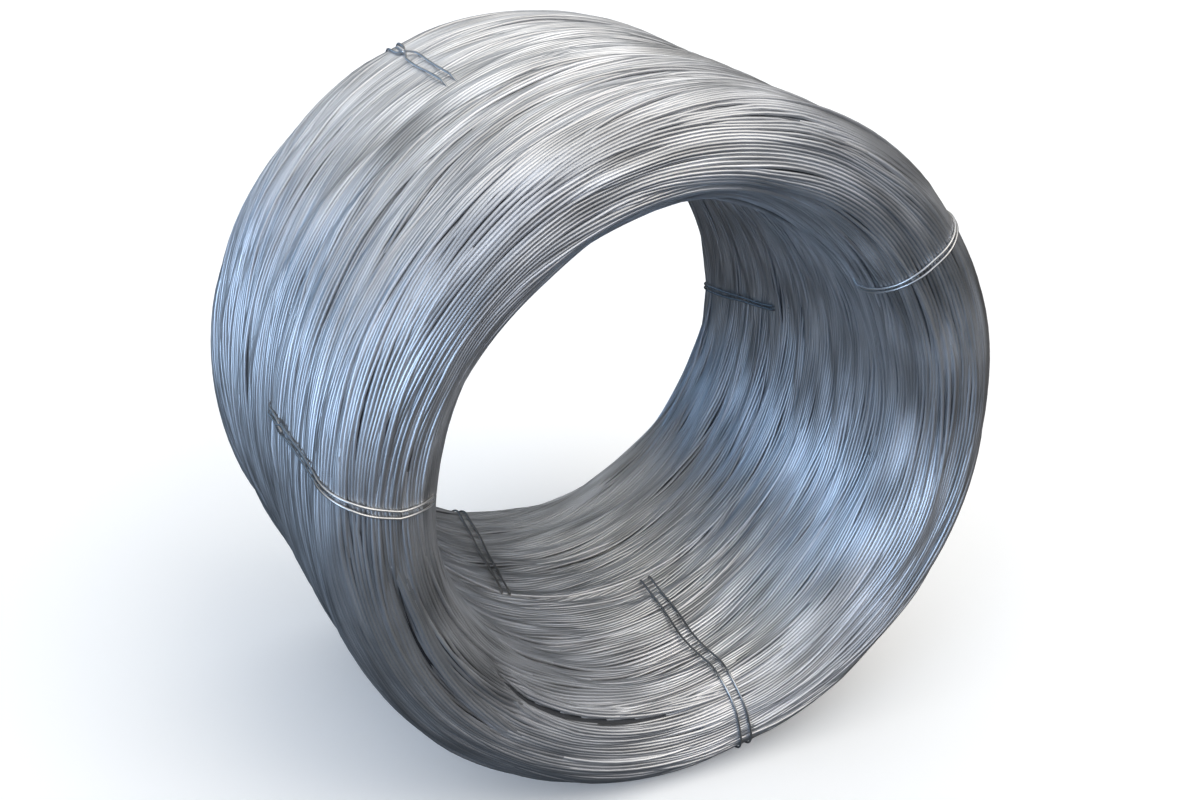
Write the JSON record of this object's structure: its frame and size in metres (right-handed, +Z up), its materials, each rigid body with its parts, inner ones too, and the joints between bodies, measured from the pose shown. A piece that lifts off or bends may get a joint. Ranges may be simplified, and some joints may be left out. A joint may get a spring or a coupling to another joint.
{
  "type": "coil of wire rod",
  "caption": "Round coil of bright steel wire rod lying on its side, with an open bore, a waist round it and doubled wire ties.",
  "frame": {"origin": "on the floor, under the middle of the coil", "axes": "+Y along the coil's axis from the front end, which has the shorter bundle, to the rear end, +Z up"},
  "size_m": [1.2601, 0.8406, 1.2496],
  "materials": {
    "wire_rod": "bright drawn, slightly dull zinc grey",
    "tie_wire": "plain annealed wire, dull"
  },
  "bodies": {
    "root": {"coil": "wire_rod", "tie_front_left": "tie_wire", "tie_front_right": "tie_wire", "tie_front_bottom": "tie_wire", "tie_rear_top": "tie_wire", "tie_rear_right": "tie_wire", "tie_rear_bottom": "tie_wire"}
  },
  "joints": []
}
